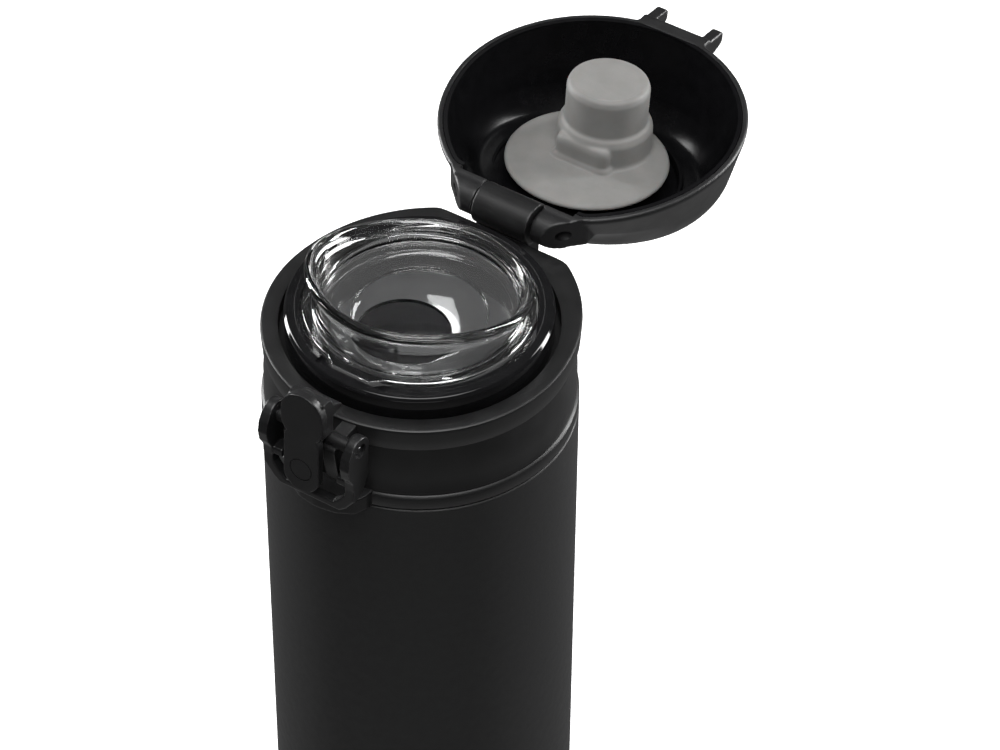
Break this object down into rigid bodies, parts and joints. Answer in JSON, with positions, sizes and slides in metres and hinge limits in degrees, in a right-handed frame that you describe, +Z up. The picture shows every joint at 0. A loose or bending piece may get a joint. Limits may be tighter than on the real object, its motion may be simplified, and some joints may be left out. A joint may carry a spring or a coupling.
{
  "type": "vacuum flask",
  "caption": "Slim insulated steel flask with screw-on drinking cap: hinged snap lid, clear spout, push-button latch and swing-up lock ring.",
  "frame": {"origin": "centre of the flat base, on the flask's axis", "axes": "+Z up along the flask's axis, latch towards -Y, lid hinge towards +Y, +X along the hinge pin"},
  "size_m": [0.066, 0.1505, 0.217],
  "materials": {
    "body_paint": "matte powder coat",
    "steel": "brushed",
    "steel_inner": "satin",
    "base_plastic": "matte",
    "seal_resin": "matte",
    "getter_metal": "dull",
    "dark_silicone": "matte",
    "collar_plastic": "fine grain",
    "gloss_ring": "gloss",
    "clear_resin": "clear gloss",
    "pin_steel": "dark satin",
    "spring_steel": "bright",
    "lid_plastic": "fine grain",
    "liner_gloss": "gloss",
    "grey_silicone": "matte",
    "button_plastic": "satin",
    "ring_plastic": "satin"
  },
  "bodies": {
    "bottle": {"outer_shell": "body_paint", "base_disc": "steel", "base_cover": "base_plastic", "vacuum_seal": "seal_resin", "getter": "getter_metal", "inner_vessel": "steel_inner"},
    "seal": {"neck_gasket": "dark_silicone"},
    "cap": {"collar": "collar_plastic", "spout_carrier": "gloss_ring", "drink_spout": "clear_resin", "spout_gasket": "dark_silicone", "latch_pin": "pin_steel", "hinge_spring": "spring_steel", "button_spring": "spring_steel"},
    "lid": {"lid_shell": "lid_plastic", "lid_liner": "liner_gloss", "lid_stopper": "grey_silicone", "hinge_pin": "pin_steel"},
    "button": {"latch_button": "button_plastic"},
    "ring": {"lock_ring": "ring_plastic"}
  },
  "joints": [
    {"name": "cap_lift", "type": "slide", "parent": "bottle", "child": "seal", "axis": [0, 0, 1], "range_m": [0, 0.0155]},
    {"name": "cap_turn", "type": "hinge", "parent": "seal", "child": "cap", "pos_m": [0, 0, 0.2], "axis": [0, 0, 1], "range_deg": [0, 1080]},
    {"name": "lid_hinge", "type": "hinge", "parent": "cap", "child": "lid", "pos_m": [0, 0.0336, 0.2041], "axis": [1, 0, 0], "range_deg": [0, 180], "stiffness_Nm_per_rad": 0.004, "springref_deg": -45.84},
    {"name": "button_press", "type": "hinge", "parent": "cap", "child": "button", "pos_m": [0, -0.0376, 0.1995], "axis": [1, 0, 0], "range_deg": [0, 12], "stiffness_Nm_per_rad": 0.05, "springref_deg": -5.73},
    {"name": "ring_swing", "type": "hinge", "parent": "cap", "child": "ring", "pos_m": [0, -0.0376, 0.1995], "axis": [-1, 0, 0], "range_deg": [0, 165]}
  ],
  "couplings": [
    {"joint": "cap_lift", "follows": "cap_turn", "m_per_rad": 0.00079577}
  ]
}
